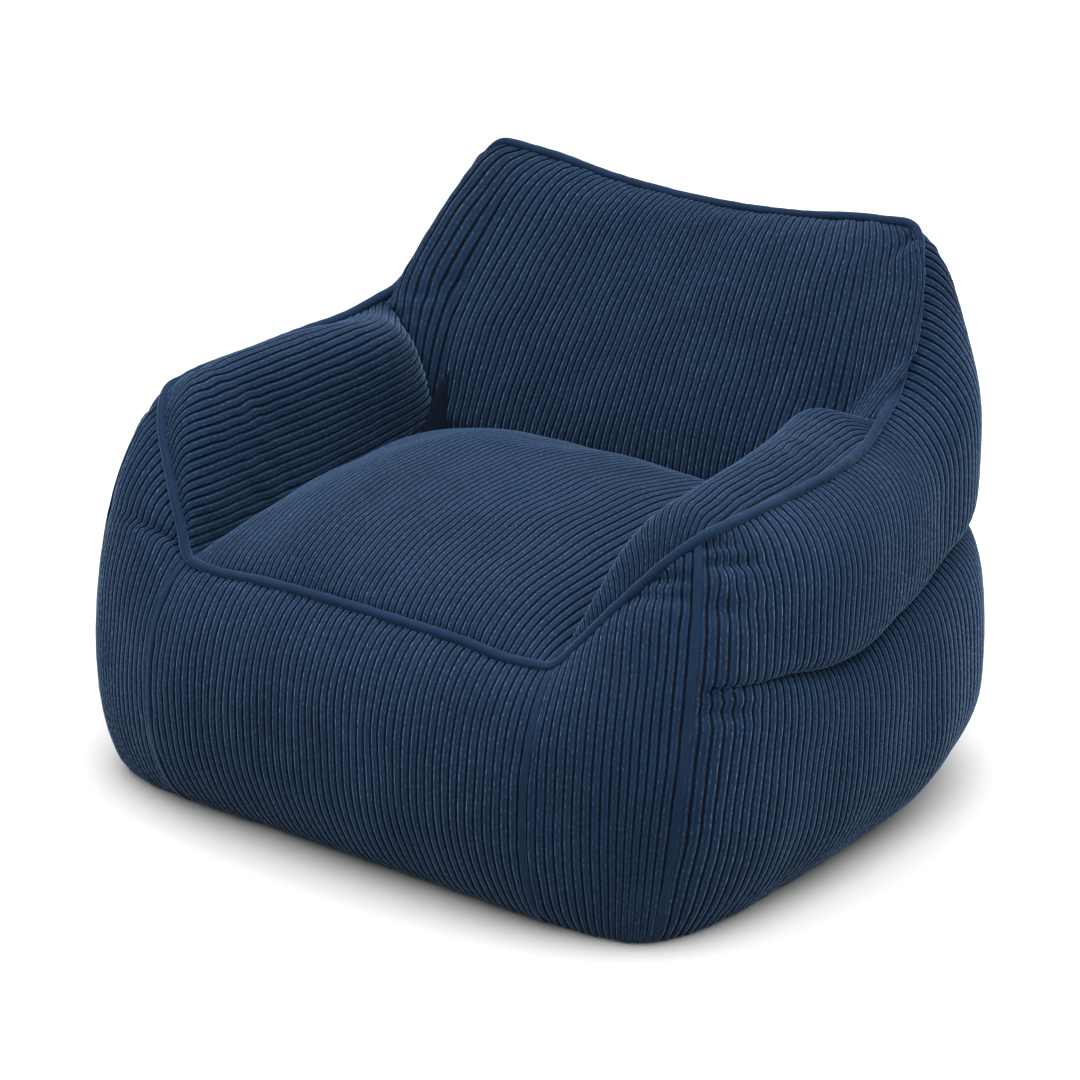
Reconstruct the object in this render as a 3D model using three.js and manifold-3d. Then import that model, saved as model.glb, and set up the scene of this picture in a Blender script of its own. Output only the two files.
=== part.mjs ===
// Pouf armchair in wide-rib corduroy: one stuffed body cut into its sewn panels,
// a piping cord along the long seam and four flat welts on the upright seams.
// Millimetres, +Z up, +X to the right as seen from the front, the front faces -Y,
// the origin is on the floor under the middle of the chair.
import * as THREE from 'three';
import Module from 'manifold-3d';

const wasm = await Module();
wasm.setup();

// Driving dimensions
const PIPING_RADIUS = 5.3;
const CORD_SIDES = 8;
const PIPING_PROUD = 3;         // the cord stands this far out of its seam
const CLEARANCE = 0.45;         // between sewn pieces
const SHARPEST_MITRE = 0.1;     // limits how far a pointed corner is drawn in
const BODY_SHIFT_Y = -299.3;    // from the front piping to the middle of the depth
const SMALLEST_EDGE = 0.03;     // shorter ones are joined, and shorter runs have no direction
const WELT_WIDTH = 9;
const WELT_HEIGHT = 3;
const WELT_SINK = 1;            // a welt is let into the panels by this much
const SEAT_CROWN = 72;
const SEAT_SQUARENESS = 3.5;    // higher keeps the seat full further towards its side seams
const SEAT_SHOULDER = 0.6;      // higher lets it fall off more gently there
const SEAT_SAG = 9;             // dip of the seam between seat and arm
const BACK_CROWN = 52;
const BACK_SQUARENESS = 14;
const BACK_SHOULDER = 0.5;
const BACK_LEAN = 27 * Math.PI / 180;
const BACK_SIDE_TURN = 1.2;     // radians that the swell of the back turns out to at its sides
const CORNER_LOSS = 0.35;       // part of the swell that is missing in the top corners
const FOLD_LIP = 12;            // the upper roll hangs this far over the side fold
const BASE_TUCK = 1.5;          // above 1 the lower roll draws in before it reaches the base
const FOLD_FLOOR = 29;          // bulge that is left at the bottom of the side fold
const FOLD_TURN = 4.5;          // lower turns the cloth into the fold more gently
const UNFOLDED_TURN = 12.5;
const LIP_SHARE = 2.2;          // the lip takes up the lower part of the upper roll

// Places round the chair, counted in ribs from the middle of the front
const FRONT_SEAM = 24;
const SIDE_SEAM = 40;
const ARM_END = 82;
const REAR_SEAM = 105;
const REAR_MIDDLE = 134;
const SEAT_HALF = 24;           // ribs from the middle of the seat to its side seam
const BACK_HALF = 29.5;
const BACK_FOOT_HALF = 25;      // ribs of the back that end on the seat

// Route of the piping: rib, then the cord's place
const PIPING_ROUTE = [
  { rib: 0, x: 0, y: -14, z: 276 },
  { rib: 12, x: 120, y: -11, z: 273 },
  { rib: 21, x: 212, y: -6, z: 267 },
  { rib: 24, x: 238, y: 1, z: 269 },
  { rib: 27, x: 258, y: 14, z: 292 },
  { rib: 32, x: 293, y: 36, z: 337 },
  { rib: 38, x: 334, y: 70, z: 386 },
  { rib: 41, x: 348, y: 92, z: 400 },
  { rib: 46, x: 355, y: 130, z: 405 },
  { rib: 58, x: 357, y: 240, z: 407 },
  { rib: 68, x: 354, y: 320, z: 410 },
  { rib: 74, x: 345, y: 370, z: 414 },
  { rib: 80, x: 335, y: 410, z: 424 },
  { rib: 86, x: 322, y: 460, z: 443 },
  { rib: 92, x: 308, y: 502, z: 484 },
  { rib: 99, x: 292, y: 539, z: 535 },
  { rib: 104, x: 281, y: 556, z: 575 },
  { rib: 106, x: 271, y: 561, z: 584 },
  { rib: 110, x: 226, y: 566, z: 582 },
  { rib: 120, x: 122, y: 568, z: 569 },
  { rib: 134, x: 0, y: 568, z: 563 },
];

// Seam round the base, the way each upright rib faces (degrees from the front) and how far
// its lower and its upper roll stand out
const FOOTPRINT = [
  { rib: 0, x: 0, y: 0, facing: 0, lower: 65, upper: 65 },
  { rib: 12, x: 120, y: -1, facing: 0, lower: 63, upper: 63 },
  { rib: 24, x: 236, y: -3, facing: 8, lower: 58, upper: 58 },
  { rib: 32, x: 302, y: 2, facing: 25, lower: 55, upper: 55 },
  { rib: 40, x: 342, y: 22, facing: 45, lower: 55, upper: 57 },
  { rib: 44, x: 357, y: 49, facing: 68, lower: 55, upper: 58 },
  { rib: 50, x: 368, y: 103, facing: 85, lower: 57, upper: 60 },
  { rib: 60, x: 370, y: 200, facing: 90, lower: 60, upper: 63 },
  { rib: 72, x: 368, y: 320, facing: 90, lower: 65, upper: 60 },
  { rib: 82, x: 356, y: 416, facing: 97, lower: 72, upper: 58 },
  { rib: 92, x: 321, y: 502, facing: 122, lower: 80, upper: 71 },
  { rib: 98, x: 286, y: 549, facing: 145, lower: 82, upper: 74 },
  { rib: 106, x: 221, y: 592, facing: 165, lower: 75, upper: 65 },
  { rib: 118, x: 123, y: 616, facing: 177, lower: 68, upper: 63 },
  { rib: 134, x: 0, y: 623, facing: 180, lower: 68, upper: 63 },
];

// Fold between the lower and the upper roll: depth from 0 to 1 and height
const SIDE_FOLD = [
  { rib: 0, depth: 0, z: 138 },
  { rib: 24, depth: 0, z: 140 },
  { rib: 32, depth: 0, z: 186 },
  { rib: 38, depth: 0, z: 246 },
  { rib: 41, depth: 0, z: 260 },
  { rib: 43, depth: 0.1, z: 262 },
  { rib: 50, depth: 0.5, z: 255 },
  { rib: 58, depth: 0.9, z: 241 },
  { rib: 64, depth: 1, z: 237 },
  { rib: 72, depth: 1, z: 246 },
  { rib: 80, depth: 1, z: 256 },
  { rib: 88, depth: 1, z: 271 },
  { rib: 98, depth: 0.9, z: 276 },
  { rib: 106, depth: 0.7, z: 275 },
  { rib: 118, depth: 0.4, z: 268 },
  { rib: 134, depth: 0.3, z: 264 },
];

// How far back a cross-section of the arm starts on the seat seam, from 0 to 1
const ARM_SECTIONS = [
  { rib: 24, along: 0 },
  { rib: 40.5, along: 0.2 },
  { rib: 50, along: 0.4 },
  { rib: 58, along: 0.56 },
  { rib: 72, along: 0.84 },
  { rib: 82, along: 1 },
];

// Control points of the arm's cross-section, as shares of its rise: the first from the seat
// seam, the second from the piping, at the front, towards the rear and on the seam to the back
const ARM_CURVE = {
  front: { footX: 0.2, footZ: 1.07, topX: -0.31, topZ: 0.38 },
  rear: { footX: -0.32, footZ: 1.29, topX: -0.8, topZ: 0.48 },
  backSeam: { footX: 0.12, footZ: 0.45, topX: -0.25, topZ: -0.2 },
};
const ARM_FADE = 16;            // higher keeps the arm full until closer to the back seam

// Rear corner of the seat, where seat, arm and back meet
const SEAT_CORNER = { x: 255, y: 430, z: 283, rise: 10 };

// Inner edges where the stuffed pieces meet: under the piping and over the base
const UPPER_CORE = [
  { rib: 0, x: 0, y: 110, z: 150 },
  { rib: 24, x: 200, y: 110, z: 150 },
  { rib: 41, x: 300, y: 150, z: 300 },
  { rib: 82, x: 300, y: 436, z: 300 },
  { rib: 105, x: 240, y: 525, z: 470 },
  { rib: 134, x: 0, y: 525, z: 470 },
];
const LOWER_CORE = [
  { rib: 0, x: 0, y: 110, z: 132 },
  { rib: 24, x: 200, y: 110, z: 132 },
  { rib: 41, x: 218, y: 150, z: 132 },
  { rib: 82, x: 218, y: 420, z: 132 },
  { rib: 105, x: 200, y: 452, z: 132 },
  { rib: 134, x: 0, y: 456, z: 132 },
];
const SEAT_CORE = { x: 200, y: 430, z: 150 };

// Steps of the facets, as fractions up a rib
const UPRIGHT_STEPS = [0, 0.045, 0.11, 0.2, 0.3, 0.4, 0.46, 0.5, 0.54, 0.6, 0.7, 0.8, 0.89, 0.955, 1];

const lerp = (a, b, t) => a + (b - a) * t;
const clamp = (x, low, high) => Math.min(high, Math.max(low, x));

// Evenly spaced values from first to last
function steps(first, last, count) {
  return Array.from({ length: count + 1 }, (_, k) => lerp(first, last, k / count));
}

// Smooth curve through the rows of a table, mirrored past both ends where parity is given
function smooth(rows, columns, parity) {
  const knots = rows.map((row) => ({ rib: row.rib, value: columns.map((name) => row[name]) }));
  if (parity) {
    const flip = (row, end) => ({
      rib: 2 * end.rib - row.rib,
      value: row.value.map((number, c) => (parity[c] < 0 ? 2 * end.value[c] - number : number)),
    });
    const last = knots.length - 1;
    const before = flip(knots[1], knots[0]);
    const after = flip(knots[last - 1], knots[last]);
    knots.unshift(before);
    knots.push(after);
  }
  const step = (k) => knots[k + 1].rib - knots[k].rib;
  const rate = (k, c) => (knots[k + 1].value[c] - knots[k].value[c]) / step(k);
  const slope = (k, c) => {
    if (k === 0) return rate(0, c);
    if (k === knots.length - 1) return rate(k - 1, c);
    return (rate(k - 1, c) * step(k) + rate(k, c) * step(k - 1)) / (step(k - 1) + step(k));
  };
  return (rib) => {
    let k = 0;
    while (k < knots.length - 2 && rib >= knots[k + 1].rib) k += 1;
    const h = step(k);
    const t = (rib - knots[k].rib) / h;
    const a = 2 * t ** 3 - 3 * t ** 2 + 1;
    const b = t ** 3 - 2 * t ** 2 + t;
    const d = t ** 3 - t ** 2;
    return columns.map((_, c) => a * knots[k].value[c] + b * h * slope(k, c)
      + (1 - a) * knots[k + 1].value[c] + d * h * slope(k + 1, c));
  };
}

// Straight runs between the rows of a table
function straight(rows) {
  return (rib) => {
    let k = 0;
    while (k < rows.length - 2 && rib >= rows[k + 1].rib) k += 1;
    const t = (rib - rows[k].rib) / (rows[k + 1].rib - rows[k].rib);
    return new THREE.Vector3(rows[k].x, rows[k].y, rows[k].z)
      .lerp(new THREE.Vector3(rows[k + 1].x, rows[k + 1].y, rows[k + 1].z), t);
  };
}

const routeAt = smooth(PIPING_ROUTE, ['x', 'y', 'z'], [-1, 1, 1]);
const footAt = smooth(FOOTPRINT, ['x', 'y', 'facing', 'lower', 'upper'], [-1, 1, -1, 1, 1]);
const foldAt = smooth(SIDE_FOLD, ['depth', 'z'], [1, 1]);
const armAlong = smooth(ARM_SECTIONS, ['along']);
const upperCoreAt = straight(UPPER_CORE);
const lowerCoreAt = straight(LOWER_CORE);

// The tables give one half of the chair; a negative rib is its mirror image
function mirrored(rib, at) {
  const point = at(Math.abs(rib));
  if (rib < 0) point.x = -point.x;
  return point;
}
const piping = (rib) => mirrored(rib, (r) => new THREE.Vector3(...routeAt(r)));
const upperCore = (rib) => mirrored(rib, upperCoreAt);
const lowerCore = (rib) => mirrored(rib, lowerCoreAt);

// Outward direction at the piping, and the seam that the cord is sewn into
function outward(rib) {
  return piping(rib).sub(upperCore(rib)).normalize();
}
function seam(rib) {
  return piping(rib).addScaledVector(outward(rib), -PIPING_PROUD);
}

// Round profile: 0 at -1 and 1, 1 in the middle
function plump(t) {
  return Math.max(1 - Math.abs(t) ** 2.2, 0) ** 0.625;
}
// The same with a tighter turn on the side of the fold, where t is positive
function roll(t, tightness, tuck) {
  return t > 0 ? Math.sqrt(Math.max(1 - t ** tightness, 0)) : plump(t) ** tuck;
}

// Outer surface: rib round the chair, up from 0 at the base to 1 at the piping
function outerSkin(rib, up) {
  return mirrored(rib, (r) => {
    const [footX, footY, facing, lower, upper] = footAt(r);
    const [foldDepth, foldZ] = foldAt(r);
    const top = seam(r);
    const depth = clamp(foldDepth, 0, 1);
    const low = up < 0.5;
    const turn = Math.cos(Math.PI * (low ? 2 * up : 2 * up - 1));
    const part = (1 - turn) / 2;
    const height = low ? foldZ * part : lerp(foldZ, top.z, part);
    const tightness = lerp(UNFOLDED_TURN, FOLD_TURN, depth);
    const round = roll(low ? -turn : turn, tightness, low ? BASE_TUCK : 1);
    const floor = FOLD_FLOOR * (low ? part : 1 - part);
    const single = lower * plump(2 * height / top.z - 1);
    const double = (low ? lower : upper) * round + floor * (1 - round);
    const out = lerp(single, double, depth);
    const droop = low ? 0 : FOLD_LIP * Math.sin(Math.PI * clamp(part * LIP_SHARE, 0, 1));
    const angle = facing * Math.PI / 180;
    return new THREE.Vector3(
      lerp(footX, top.x, height / top.z) + Math.sin(angle) * out,
      lerp(footY, top.y, height / top.z) - Math.cos(angle) * out,
      height - depth * droop,
    );
  });
}

// Seat: rib from -24 to 24 across, back from 0 at the front piping to 1
function seat(rib, back) {
  const side = rib / SEAT_HALF;
  const rear = new THREE.Vector3(SEAT_CORNER.x * side, SEAT_CORNER.y,
    SEAT_CORNER.z + SEAT_CORNER.rise * (1 - side ** 2));
  const point = seam(rib).lerp(rear, back);
  const across = Math.max(1 - Math.abs(side) ** SEAT_SQUARENESS, 0) ** SEAT_SHOULDER;
  const crown = SEAT_CROWN * across * plump(2 * back ** 0.95 - 1);
  point.z += crown - SEAT_SAG * Math.sin(Math.PI * back) * side ** 2;
  return point;
}

// Inner arm: rib of the piping that a cross-section ends on, over from 0 at the seat to 1
function innerArm(rib, over) {
  const along = armAlong(rib)[0];
  const foot = seat(SEAT_HALF, along);
  const top = seam(rib);
  const rise = top.z - foot.z;
  const share = (name) => {
    const bulged = lerp(ARM_CURVE.front[name], ARM_CURVE.rear[name], along ** 2);
    return rise * lerp(bulged, ARM_CURVE.backSeam[name], along ** ARM_FADE);
  };
  const first = foot.clone();
  first.x += share('footX');
  first.z += share('footZ');
  const second = top.clone();
  second.x += share('topX');
  second.z += share('topZ');
  return new THREE.CubicBezierCurve3(foot, first, second, top).getPoint(over);
}

// Inner back: rib from -29.5 to 29.5 across, up from 0 at the seat and the arms to 1
function innerBack(rib, up) {
  const foot = (r) => {
    const size = Math.abs(r);
    if (size <= BACK_FOOT_HALF) return seat(r * SEAT_HALF / BACK_FOOT_HALF, 1);
    const over = (size - BACK_FOOT_HALF) / (BACK_HALF - BACK_FOOT_HALF);
    const point = innerArm(ARM_END, clamp(over, 0, 1));
    if (r < 0) point.x = -point.x;
    return point;
  };
  const head = (r) => {
    const place = lerp(REAR_MIDDLE, REAR_SEAM, Math.abs(r) / BACK_HALF);
    return seam(r < 0 ? -place : place);
  };
  const edge = lerp(ARM_END, REAR_SEAM, up);
  const side = rib / BACK_HALF;
  const across = (side + 1) / 2;
  const point = foot(rib).lerp(head(rib), up);
  point.add(seam(-edge).lerp(seam(edge), across));
  const left = foot(-BACK_HALF).lerp(head(-BACK_HALF), up);
  const right = foot(BACK_HALF).lerp(head(BACK_HALF), up);
  point.sub(left.lerp(right, across));
  const shoulder = Math.max(1 - Math.abs(side) ** BACK_SQUARENESS, 0) ** BACK_SHOULDER;
  const corner = 1 - CORNER_LOSS * side ** 6 * up ** 4;
  const crown = BACK_CROWN * shoulder * plump(2 * up - 1) * corner;
  const turn = BACK_SIDE_TURN * Math.abs(side) ** 3;
  point.x += Math.sign(side) * Math.sin(turn) * crown;
  point.y -= Math.cos(BACK_LEAN) * Math.cos(turn) * crown;
  point.z += Math.sin(BACK_LEAN) * Math.cos(turn) * crown;
  return point;
}

// Points closer than a thousandth are one corner
function keyOf(point) {
  return [point.x, point.y, point.z].map((v) => Math.round(v * 1000)).join(' ');
}

// Both neighbours split a shared wall along the same diagonal, chosen by this
function order(point) {
  return Math.abs(point.x) + 2 * point.y + 3 * point.z;
}

// Collects triangles by corner points and shares equal corners
class Shell {
  constructor() {
    this.index = new Map();
    this.corners = [];
    this.triangles = [];
  }

  corner(point) {
    const key = keyOf(point);
    if (!this.index.has(key)) {
      this.index.set(key, this.corners.length);
      this.corners.push(point);
    }
    return this.index.get(key);
  }

  triangle(a, b, c) {
    const [i, j, k] = [this.corner(a), this.corner(b), this.corner(c)];
    if (i !== j && j !== k && k !== i) this.triangles.push([i, j, k]);
  }

  quad(a, b, c, d) {
    this.triangle(a, b, c);
    this.triangle(a, c, d);
  }

  // Six times the volume, below zero when the triangles face inwards
  turn() {
    const cross = new THREE.Vector3();
    return this.triangles.reduce((sum, [i, j, k]) => {
      cross.crossVectors(this.corners[j], this.corners[k]);
      return sum + this.corners[i].dot(cross);
    }, 0);
  }

  solid() {
    const outwards = this.turn() > 0;
    const vertProperties = new Float32Array(this.corners.flatMap((p) => [p.x, p.y, p.z]));
    const triVerts = new Uint32Array(this.triangles.flatMap(([i, j, k]) => (
      outwards ? [i, j, k] : [i, k, j]
    )));
    return new wasm.Manifold(new wasm.Mesh({ numProp: 3, vertProperties, triVerts }));
  }
}

// Solid along a row of loops: a ring when the first loop comes again, else capped
function run(loops) {
  const shell = new Shell();
  const count = loops[0].length;
  const first = loops[0];
  const last = loops[loops.length - 1];
  loops.slice(1).forEach((loop, k) => {
    for (let c = 0; c < count; c += 1) {
      const next = (c + 1) % count;
      shell.quad(loops[k][c], loops[k][next], loop[next], loop[c]);
    }
  });
  if (first !== last) {
    for (let c = 1; c + 1 < count; c += 1) {
      shell.triangle(first[0], first[c + 1], first[c]);
      shell.triangle(last[0], last[c], last[c + 1]);
    }
  }
  return shell.solid();
}

// Stuffed solid: a skin and a core surface, and walls between their borders.
// Each side is a run of { seam, core } places; they go round the skin anticlockwise.
// The walls are drawn in by half the clearance.
function stuffed(sides, addSurfaces) {
  const normals = new Map();
  const note = (point, normal) => {
    const key = keyOf(point);
    normals.set(key, [...(normals.get(key) || []), normal]);
  };
  sides.forEach((side) => {
    side.forEach(({ seam: point, core }, k) => {
      const from = side[Math.max(k - 1, 0)];
      const to = side[Math.min(k + 1, side.length - 1)];
      const way = to.seam.clone().sub(from.seam).add(to.core).sub(from.core);
      if (way.length() < SMALLEST_EDGE) return;
      const normal = way.cross(core.clone().sub(point)).normalize();
      note(point, normal);
      note(core, normal);
    });
  });
  const drawnIn = (point) => {
    const found = normals.get(keyOf(point));
    if (!found) return point;
    const first = found[0];
    const second = found[found.length - 1];
    const amount = CLEARANCE / 2 / Math.max(1 + first.dot(second), SHARPEST_MITRE);
    const moved = point.clone().addScaledVector(first, amount).addScaledVector(second, amount);
    moved.z = Math.max(moved.z, 0);
    return moved;
  };
  const shell = new Shell();
  addSurfaces((...corners) => shell.quad(...corners.map(drawnIn)));
  sides.forEach((side) => {
    side.slice(1).forEach((next, k) => {
      const here = side[k];
      const wall = [next.seam, here.seam, here.core, next.core].map(drawnIn);
      if (order(here.seam) < order(next.seam)) wall.push(wall.shift());
      shell.quad(...wall);
    });
  });
  return shell.solid();
}

// Stuffed solid from a grid of skin points, i across and j along, and the core under them
function gridPiece(skin, core) {
  const across = skin.length - 1;
  const along = skin[0].length - 1;
  const place = (i, j) => ({ seam: skin[i][j], core: core[i][j] });
  const sides = [
    skin.map((_, i) => place(i, 0)),
    skin[0].map((_, j) => place(across, j)),
    skin.map((_, i) => place(across - i, along)),
    skin[0].map((_, j) => place(0, along - j)),
  ];
  return stuffed(sides, (addQuad) => {
    for (let i = 0; i < across; i += 1) {
      for (let j = 0; j < along; j += 1) {
        addQuad(skin[i][j], skin[i + 1][j], skin[i + 1][j + 1], skin[i][j + 1]);
        addQuad(core[i + 1][j], core[i][j], core[i][j + 1], core[i + 1][j + 1]);
      }
    }
  });
}

// Grid of points from two lists of values
function grid(first, second, at) {
  return first.map((a) => second.map((b) => at(a, b)));
}

// Upright panel of the outer cover between two ribs
function upright(ribs) {
  const skin = grid(ribs, UPRIGHT_STEPS, outerSkin);
  const core = grid(ribs, UPRIGHT_STEPS, (rib, up) => lowerCore(rib).lerp(upperCore(rib), up));
  return gridPiece(skin, core);
}

const FRONT_RIBS = steps(-FRONT_SEAM, FRONT_SEAM, 16);
const CORNER_RIBS = steps(FRONT_SEAM, SIDE_SEAM, 6);
const ARM_RIBS = [...CORNER_RIBS, ...steps(SIDE_SEAM, ARM_END, 15).slice(1)];
const EDGE_RIBS = steps(ARM_END, REAR_SEAM, 11);
const SIDE_RIBS = [...steps(SIDE_SEAM, ARM_END, 15), ...EDGE_RIBS.slice(1)];
const BACK_RIBS = [...steps(0, BACK_FOOT_HALF, 8), ...steps(BACK_FOOT_HALF, BACK_HALF, 8).slice(1)];
const ARM_OVER = steps(0, 1, 8);
const both = (list) => [...list.slice(1).reverse().map((v) => -v), ...list];
const rearRib = (rib) => Math.sign(rib || 1) * lerp(REAR_MIDDLE, REAR_SEAM, Math.abs(rib) / BACK_HALF);
const REAR_RIBS = both(BACK_RIBS).map(rearRib).reverse();
const ROUND_RIBS = [
  ...FRONT_RIBS,
  ...CORNER_RIBS.slice(1),
  ...SIDE_RIBS.slice(1),
  ...REAR_RIBS.slice(1),
  ...SIDE_RIBS.slice(0, -1).reverse().map((rib) => -rib),
  ...CORNER_RIBS.slice(1, -1).reverse().map((rib) => -rib),
];

function seatPiece() {
  const back = ARM_RIBS.map((rib) => armAlong(rib)[0]);
  const skin = grid(FRONT_RIBS, back, seat);
  const core = grid(FRONT_RIBS, back, (rib, along) => {
    const rear = new THREE.Vector3(SEAT_CORE.x * rib / SEAT_HALF, SEAT_CORE.y, SEAT_CORE.z);
    return upperCore(rib).lerp(rear, along);
  });
  return gridPiece(skin, core);
}

function armPiece() {
  const skin = grid(ARM_OVER, ARM_RIBS, (over, rib) => innerArm(rib, over));
  const core = grid(ARM_OVER, ARM_RIBS, (over, rib) => {
    const low = new THREE.Vector3(SEAT_CORE.x, SEAT_CORE.y, SEAT_CORE.z);
    return upperCore(FRONT_SEAM).lerp(low, armAlong(rib)[0]).lerp(upperCore(rib), over);
  });
  return gridPiece(skin, core);
}

function backPiece() {
  const ups = steps(0, 1, EDGE_RIBS.length - 1);
  const ribs = both(BACK_RIBS);
  const skin = grid(ribs, ups, innerBack);
  const footCore = (rib) => {
    const size = Math.abs(rib);
    const low = new THREE.Vector3(SEAT_CORE.x, SEAT_CORE.y, SEAT_CORE.z);
    const over = clamp((size - BACK_FOOT_HALF) / (BACK_HALF - BACK_FOOT_HALF), 0, 1);
    low.x *= Math.min(size / BACK_FOOT_HALF, 1);
    const point = low.lerp(upperCore(ARM_END), over);
    if (rib < 0) point.x = -point.x;
    return point;
  };
  const core = grid(ribs, ups, (rib, up) => {
    const size = Math.abs(rib);
    if (size === BACK_HALF) return upperCore(Math.sign(rib) * lerp(ARM_END, REAR_SEAM, up));
    return footCore(rib).lerp(upperCore(rearRib(rib)), up);
  });
  return gridPiece(skin, core);
}

// Flat base inside the seam at the floor
function basePiece(ribs) {
  const ring = [...ribs, ribs[0]].map((rib) => ({ seam: outerSkin(rib, 0), core: lowerCore(rib) }));
  const side = ring.reverse();
  const centre = new THREE.Vector3(0, -BODY_SHIFT_Y, 0);
  const top = new THREE.Vector3(0, -BODY_SHIFT_Y, LOWER_CORE[0].z);
  return stuffed([side], (addQuad) => {
    side.slice(1).forEach((place, k) => {
      addQuad(centre, side[k].seam, place.seam, centre);
      addQuad(top, place.core, side[k].core, top);
    });
  });
}

// Cord laid in the long seam: the same shape on both sides of the chair
function cord(radius) {
  const ribs = [
    ...steps(-FRONT_SEAM, FRONT_SEAM, 16).slice(1),
    ...steps(FRONT_SEAM, REAR_SEAM, 30).slice(1),
    ...steps(REAR_SEAM, 2 * REAR_MIDDLE - REAR_SEAM, 24).slice(1),
    ...steps(-REAR_SEAM, -FRONT_SEAM, 30).slice(1),
  ].map((rib) => (rib > REAR_MIDDLE ? rib - 2 * REAR_MIDDLE : rib));
  const centres = ribs.map(piping);
  const loops = centres.map((centre, k) => {
    const from = centres[(k + ribs.length - 1) % ribs.length];
    const to = centres[(k + 1) % ribs.length];
    const way = to.clone().sub(from).normalize();
    const side = way.clone().cross(outward(ribs[k])).normalize();
    const out = side.clone().cross(way);
    return steps(0, 2 * Math.PI, CORD_SIDES).slice(1).map((turn) => {
      const angle = turn - Math.PI / CORD_SIDES;
      return centre.clone().addScaledVector(out, radius * Math.cos(angle))
        .addScaledVector(side, radius * Math.sin(angle));
    });
  });
  return run([...loops, loops[0]]);
}

// Flat welt over an upright seam, grown by a margin where it serves as its own pocket
function welt(rib, margin) {
  const ups = steps(0.06, 0.985, 20);
  const loops = ups.map((up, k) => {
    const point = outerSkin(rib, up);
    const way = outerSkin(rib, up + 0.005).sub(outerSkin(rib, up - 0.005)).normalize();
    const across = outerSkin(rib + 0.4, up).sub(outerSkin(rib - 0.4, up)).normalize();
    const out = new THREE.Vector3().crossVectors(across, way).normalize();
    const half = WELT_WIDTH / 2 + margin;
    const end = k === 0 ? -margin : Number(k === ups.length - 1) * margin;
    const corner = (side, height) => point.clone().addScaledVector(across, side * half)
      .addScaledVector(out, height).addScaledVector(way, end);
    const low = -WELT_SINK - margin;
    const high = WELT_HEIGHT - WELT_SINK + margin;
    return [corner(-1, low), corner(1, low), corner(1, high), corner(-1, high)];
  });
  return run(loops);
}

const chair = new THREE.Group();
chair.position.y = BODY_SHIFT_Y;
const ribbed = { color: '#2b4569', roughness: 0.95, metalness: 0 };
const plain = { color: '#2f4b72', roughness: 0.9, metalness: 0 };

// A cut can leave slivers beside the seam; the piece is the largest body
function trimmed(solid) {
  const bodies = solid.simplify(SMALLEST_EDGE).decompose();
  return bodies.sort((a, b) => b.volume() - a.volume())[0];
}

function addPiece(name, solid, finish, mirror = false) {
  const mesh = trimmed(solid).getMesh();
  const points = Float32Array.from(mesh.vertProperties);
  const corners = Uint32Array.from(mesh.triVerts);
  if (mirror) {
    for (let k = 0; k < points.length; k += 3) points[k] = -points[k];
    for (let k = 0; k < corners.length; k += 3) {
      [corners[k + 1], corners[k + 2]] = [corners[k + 2], corners[k + 1]];
    }
  }
  const geometry = new THREE.BufferGeometry();
  geometry.setAttribute('position', new THREE.BufferAttribute(points, 3));
  geometry.setIndex(new THREE.BufferAttribute(corners, 1));
  geometry.computeVertexNormals();
  const piece = new THREE.Mesh(geometry, new THREE.MeshStandardMaterial(finish));
  piece.name = name;
  chair.add(piece);
}

const cordPocket = cord(PIPING_RADIUS + CLEARANCE / Math.cos(Math.PI / CORD_SIDES));
const welts = [FRONT_SEAM, SIDE_SEAM].map((rib) => ({ rib, pocket: welt(rib, CLEARANCE) }));
const mirroredWelts = [FRONT_SEAM, SIDE_SEAM].map((rib) => welt(-rib, CLEARANCE));

// Panels with the pockets for cord and welts taken out
function panel(name, solid, sides) {
  let piece = solid.subtract(cordPocket);
  welts.forEach(({ pocket }) => { piece = piece.subtract(pocket); });
  mirroredWelts.forEach((pocket) => { piece = piece.subtract(pocket); });
  if (sides) {
    addPiece(`${name}_right`, piece, ribbed);
    addPiece(`${name}_left`, piece, ribbed, true);
  } else {
    addPiece(name, piece, ribbed);
  }
}

panel('seat_panel', seatPiece(), false);
panel('inner_arm', armPiece(), true);
panel('inner_back', backPiece(), false);
panel('front_panel', upright(FRONT_RIBS), false);
panel('corner_panel', upright(CORNER_RIBS), true);
panel('side_panel', upright(SIDE_RIBS), true);
panel('outer_back', upright(REAR_RIBS), false);
addPiece('base_panel', basePiece(ROUND_RIBS), plain);
addPiece('piping', cord(PIPING_RADIUS), plain);
welts.forEach(({ rib }) => {
  const name = rib === FRONT_SEAM ? 'front_welt' : 'side_welt';
  const strip = welt(rib, 0).subtract(cordPocket);
  addPiece(`${name}_right`, strip, plain);
  addPiece(`${name}_left`, strip, plain, true);
});

export default chair;
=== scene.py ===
"""Pouf armchair in wide-rib corduroy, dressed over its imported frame.

The surfaces come from the functions and tables of the part's source, in millimetres with
y = 0 at the front middle of the base. They differ from it in a few values for the back, the
arms and the welts, chosen against the photograph. Meshes are made in metres, in the part's
frame.
"""
import math

import bpy
import numpy as np
from mathutils import Matrix, Vector


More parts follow.
